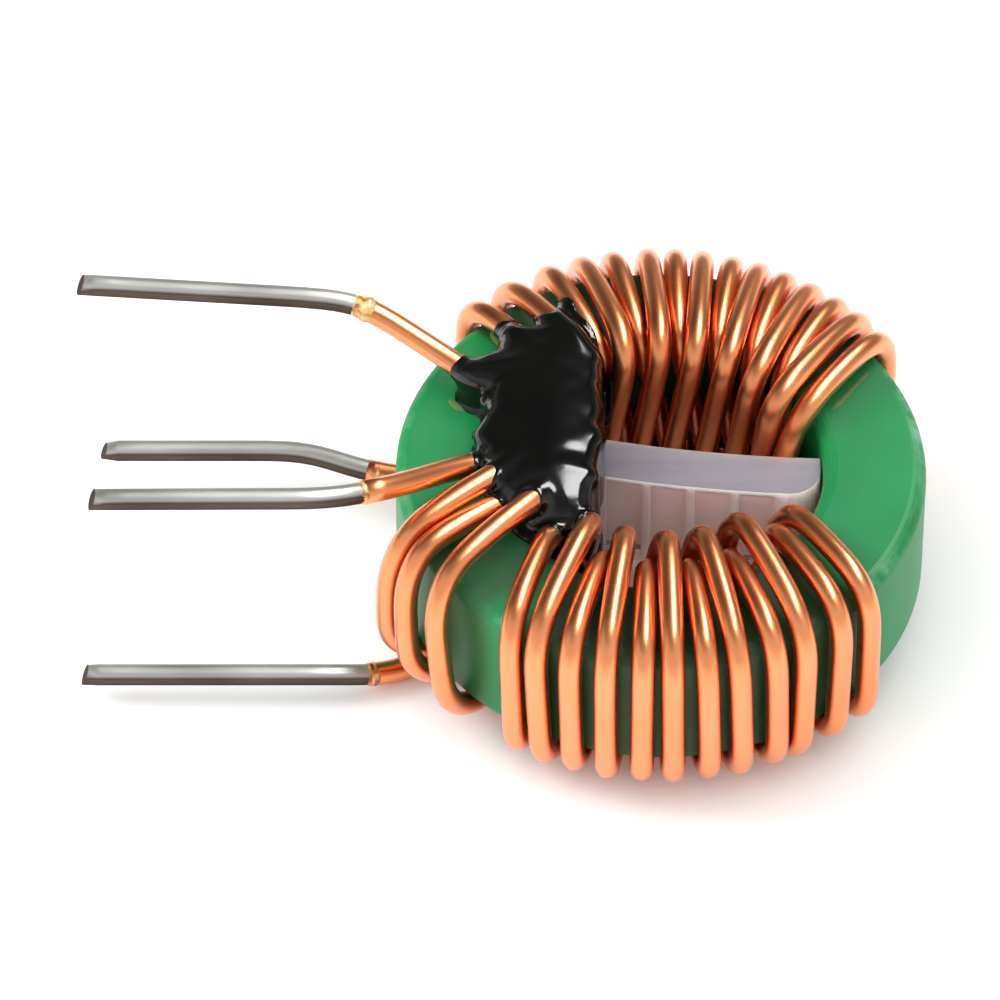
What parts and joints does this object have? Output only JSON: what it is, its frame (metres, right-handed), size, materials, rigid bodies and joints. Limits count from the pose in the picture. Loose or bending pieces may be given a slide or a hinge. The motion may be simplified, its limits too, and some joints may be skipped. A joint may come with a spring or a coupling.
{
  "type": "toroidal inductor",
  "caption": "Common-mode choke: green epoxy coated ring core, opposed enamelled copper windings, nylon separator, black glue and straight tinned leads",
  "frame": {"origin": "centre of the bounding box's underside, on the plane that the lowest wires touch", "axes": "+Z along the ring's axis, up; the leads point to -X; the front winding is on the -Y side and the back winding on the +Y side"},
  "size_m": [0.0357, 0.0246, 0.0127],
  "materials": {
    "core_coat": "semi-gloss epoxy coat",
    "copper_wire": "bright copper under clear enamel",
    "tinned_lead": "solder-tinned, satin",
    "separator_nylon": "translucent, smooth",
    "glue": "wet-looking cured epoxy"
  },
  "bodies": {
    "root": {"coated_core": "core_coat", "front_winding": "copper_wire", "back_winding": "copper_wire", "separator": "separator_nylon", "top_glue": "glue", "bottom_glue": "glue"}
  },
  "joints": []
}
